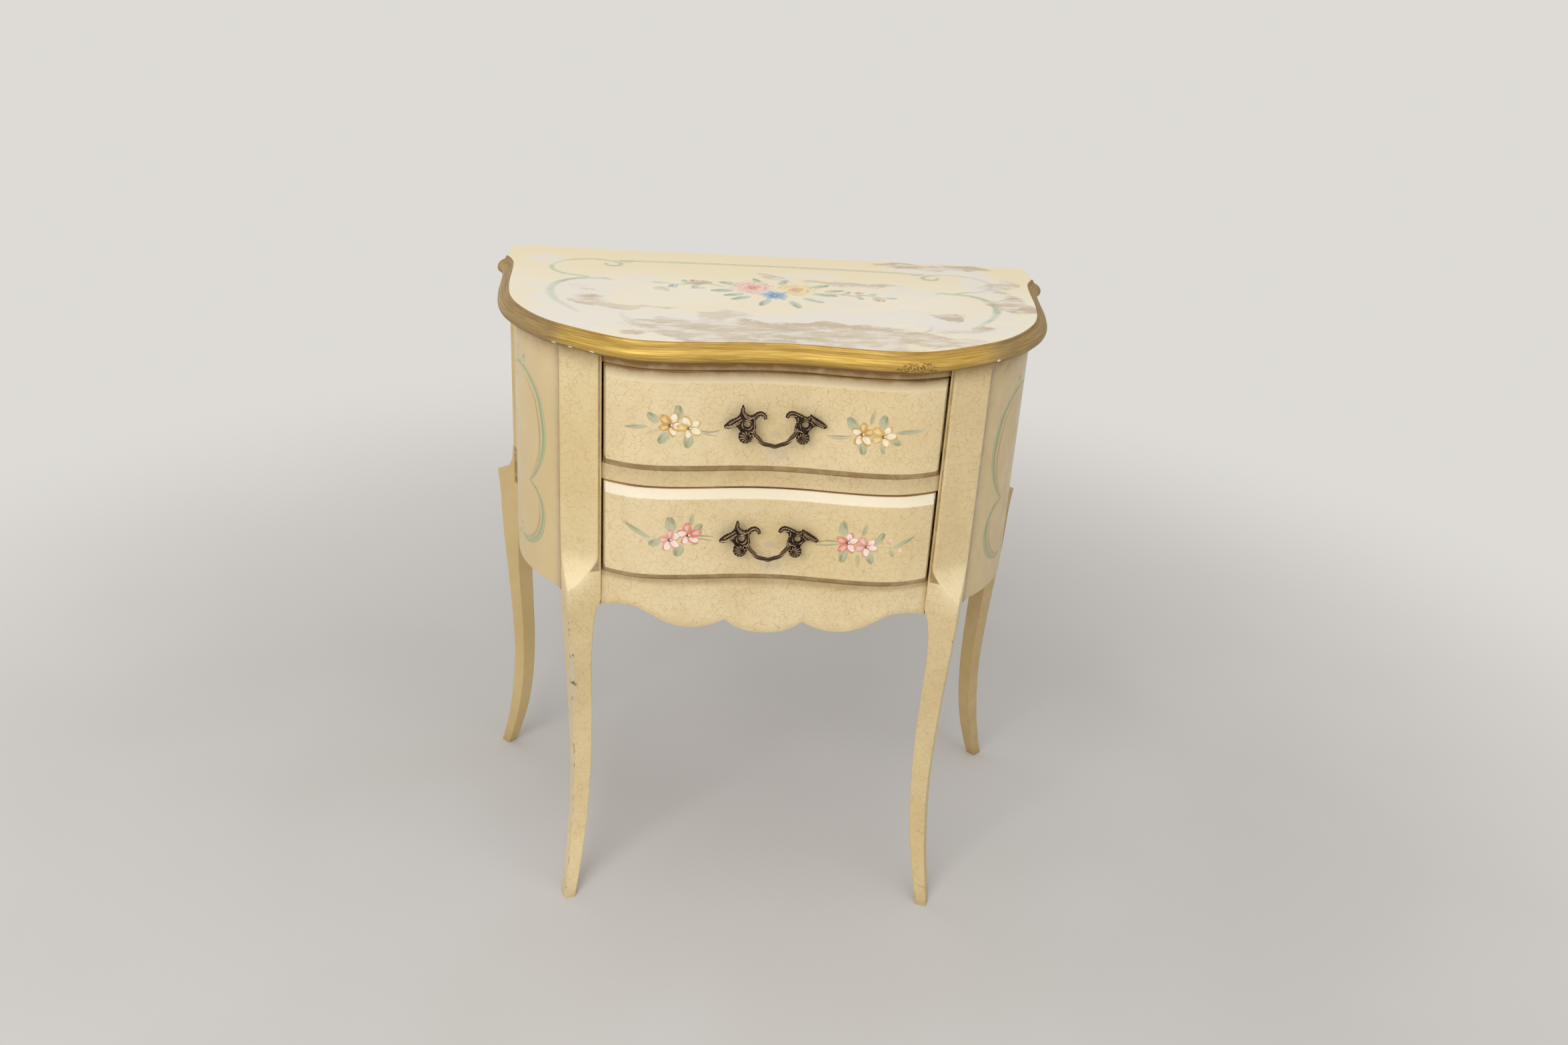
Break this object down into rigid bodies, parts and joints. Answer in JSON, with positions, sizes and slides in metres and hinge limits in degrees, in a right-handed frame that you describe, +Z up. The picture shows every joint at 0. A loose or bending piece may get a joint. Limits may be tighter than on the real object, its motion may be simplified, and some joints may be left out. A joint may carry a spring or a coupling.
{
  "type": "commode chest",
  "caption": "Small painted commode chest with a serpentine front, bowed sides, gilded moulded top edge, curved legs and sliding drawers with cast pulls.",
  "frame": {"origin": "on the floor, in the middle of the footprint of the whole object's bounding box", "axes": "+Z up, +X to the right of someone who faces the drawers, and -Y out of the front, the way the drawers open"},
  "size_m": [0.6428, 0.3548, 0.68],
  "materials": {
    "top_paint": "worn ivory paint with a gilded, moulded edge",
    "crackled_paint": "cream paint with fine brown crackle",
    "smooth_paint": "smooth cream paint",
    "bare_wood": "bare planed wood",
    "plywood": "thin bare plywood",
    "dark_bronze": "dark antiqued bronze finish, rubbed bright on the high places",
    "screw_steel": "plain steel"
  },
  "bodies": {
    "case": {"top_board": "top_paint", "top_screw_1": "screw_steel", "top_screw_2": "screw_steel", "top_screw_3": "screw_steel", "top_screw_4": "screw_steel", "top_screw_5": "screw_steel", "top_screw_6": "screw_steel", "front_left_leg": "crackled_paint", "front_right_leg": "crackled_paint", "back_left_leg": "smooth_paint", "back_right_leg": "smooth_paint", "left_side_panel": "smooth_paint", "right_side_panel": "smooth_paint", "left_side_cleat": "bare_wood", "right_side_cleat": "bare_wood", "top_rail": "crackled_paint", "middle_rail": "crackled_paint", "apron": "crackled_paint", "back_panel": "plywood", "back_top_rail": "bare_wood", "back_middle_rail": "bare_wood", "back_bottom_rail": "bare_wood", "left_kicker": "bare_wood", "right_kicker": "bare_wood", "upper_left_runner": "bare_wood", "upper_right_runner": "bare_wood", "lower_left_runner": "bare_wood", "lower_right_runner": "bare_wood", "upper_left_stop": "bare_wood", "upper_right_stop": "bare_wood", "lower_left_stop": "bare_wood", "lower_right_stop": "bare_wood", "left_glue_block": "bare_wood", "right_glue_block": "bare_wood"},
    "upper_drawer": {"upper_drawer_front": "crackled_paint", "upper_drawer_left_side": "bare_wood", "upper_drawer_right_side": "bare_wood", "upper_drawer_back": "bare_wood", "upper_drawer_bottom": "plywood", "upper_pull": "dark_bronze", "upper_pull_left_screw": "screw_steel", "upper_pull_right_screw": "screw_steel"},
    "lower_drawer": {"lower_drawer_front": "crackled_paint", "lower_drawer_left_side": "bare_wood", "lower_drawer_right_side": "bare_wood", "lower_drawer_back": "bare_wood", "lower_drawer_bottom": "plywood", "lower_pull": "dark_bronze", "lower_pull_left_screw": "screw_steel", "lower_pull_right_screw": "screw_steel"}
  },
  "joints": [
    {"name": "upper_drawer_slide", "type": "slide", "parent": "case", "child": "upper_drawer", "axis": [0, -1, 0], "range_m": [0, 0.18]},
    {"name": "lower_drawer_slide", "type": "slide", "parent": "case", "child": "lower_drawer", "axis": [0, -1, 0], "range_m": [0, 0.18]}
  ]
}
